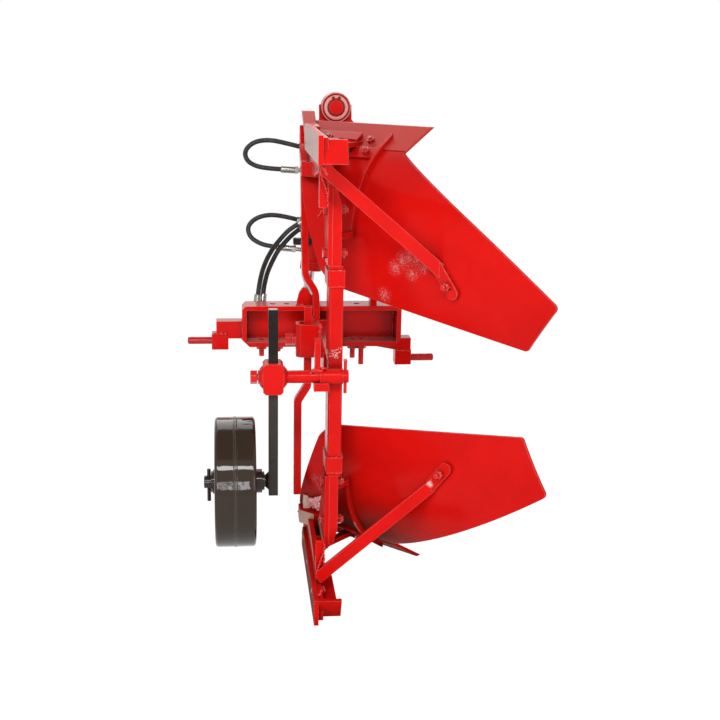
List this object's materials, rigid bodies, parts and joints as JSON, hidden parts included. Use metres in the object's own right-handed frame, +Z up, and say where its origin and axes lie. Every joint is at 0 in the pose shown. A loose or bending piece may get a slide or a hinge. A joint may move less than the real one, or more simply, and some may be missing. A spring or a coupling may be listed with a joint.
{
  "type": "reversible plough",
  "caption": "Mounted reversible plough: opposed curved mouldboard bodies on a turning frame, hydraulic turnover cylinder on a mast, adjustable depth wheel and three-point hitch pins.",
  "frame": {"origin": "middle of the lower landside's sole, on the furrow bottom", "axes": "+X to the throwing side, +Y forward in the direction of travel, +Z up"},
  "size_m": [0.9125, 1.0582, 1.349],
  "materials": {
    "red_paint": "gloss",
    "black_paint": "satin",
    "wheel_steel": "satin",
    "bright_steel": "polished",
    "zinc_plate": "satin",
    "hose_rubber": "satin",
    "bush_bronze": "satin"
  },
  "bodies": {
    "headstock": {"headstock_tray": "red_paint", "turnover_housing": "red_paint", "shaft_bushes": "bush_bronze", "mast_strap_left": "red_paint", "mast_strap_right": "red_paint", "mast_head": "red_paint", "cylinder_pivot_pin": "red_paint", "pivot_circlips": "zinc_plate", "top_link_clevis": "red_paint", "hitch_arm_left": "red_paint", "hitch_arm_right": "red_paint", "hitch_pin_left": "red_paint", "hitch_pin_right": "red_paint", "tray_bolts": "red_paint", "quick_couplers": "zinc_plate", "supply_hose_left": "hose_rubber", "supply_hose_right": "hose_rubber"},
    "cylinder": {"cylinder_barrel": "red_paint", "cylinder_gland": "red_paint", "valve_block": "black_paint", "hose_fittings": "zinc_plate", "loop_hose_upper": "hose_rubber", "loop_hose_lower": "hose_rubber"},
    "rod": {"cylinder_rod": "bright_steel", "rod_eye": "red_paint", "rod_eye_pin": "bright_steel"},
    "turning_frame": {"main_beam": "red_paint", "turnover_shaft": "bright_steel", "crank": "red_paint", "standard": "red_paint", "standard_collars": "red_paint", "plough_bolts": "red_paint", "frame_bolts": "red_paint", "wheel_boss": "red_paint", "stand_socket": "red_paint", "frog_lower": "red_paint", "frog_upper": "red_paint", "mouldboard_lower": "red_paint", "mouldboard_upper": "red_paint", "share_lower": "red_paint", "share_upper": "red_paint", "point_lower": "red_paint", "point_upper": "red_paint", "landside_lower": "red_paint", "landside_upper": "red_paint", "brace_lower": "red_paint", "brace_upper": "red_paint"},
    "parking_stand": {"parking_stand": "red_paint"},
    "stand_screw": {"stand_screw": "red_paint"},
    "wheel_arm": {"cross_shaft": "red_paint", "wheel_clamp": "red_paint", "shaft_pin": "red_paint"},
    "clamp_screw": {"clamp_screw": "red_paint"},
    "wheel_bar": {"wheel_bar": "black_paint", "wheel_axle": "wheel_steel", "axle_retainer": "zinc_plate"},
    "depth_wheel": {"wheel_shell_left": "wheel_steel", "wheel_shell_right": "wheel_steel", "wheel_hub": "wheel_steel", "hub_bushes": "bush_bronze"}
  },
  "joints": [
    {"name": "turnover", "type": "hinge", "parent": "headstock", "child": "turning_frame", "pos_m": [0.059, -0.2675, 0.635], "axis": [0, 1, 0], "range_deg": [0, 180]},
    {"name": "cylinder_swing", "type": "hinge", "parent": "headstock", "child": "cylinder", "pos_m": [0.109, 0.6375, 1.304], "axis": [0, -1, 0], "range_deg": [0, 6.87], "deforming": ["supply_hose_left", "supply_hose_right"]},
    {"name": "rod_slide", "type": "slide", "parent": "cylinder", "child": "rod", "axis": [-0.1338, 0, -0.991], "range_m": [-0.041, 0]},
    {"name": "wheel_arm_swing", "type": "hinge", "parent": "turning_frame", "child": "wheel_arm", "pos_m": [-0.006, -0.1025, 0.635], "axis": [-1, 0, 0], "range_deg": [0, 180]},
    {"name": "wheel_bar_slide", "type": "slide", "parent": "wheel_arm", "child": "wheel_bar", "axis": [0, 0, 1], "range_m": [-0.1, 0.07]},
    {"name": "wheel_spin", "type": "hinge", "parent": "wheel_bar", "child": "depth_wheel", "pos_m": [-0.208, -0.1025, 0.347], "axis": [-1, 0, 0], "continuous": true},
    {"name": "clamp_screw_turn", "type": "hinge", "parent": "wheel_arm", "child": "clamp_screw", "pos_m": [-0.146, -0.1025, 0.635], "axis": [-1, 0, 0], "continuous": true},
    {"name": "stand_slide", "type": "slide", "parent": "turning_frame", "child": "parking_stand", "axis": [0, 0, 1], "range_m": [-0.095, 0.07]},
    {"name": "stand_screw_turn", "type": "hinge", "parent": "turning_frame", "child": "stand_screw", "pos_m": [-0.046, 0.1825, 0.668], "axis": [-1, 0, 0], "continuous": true}
  ],
  "couplings": [
    {"joint": "cylinder_swing", "follows": "turnover", "ratio": 0.037913}
  ]
}
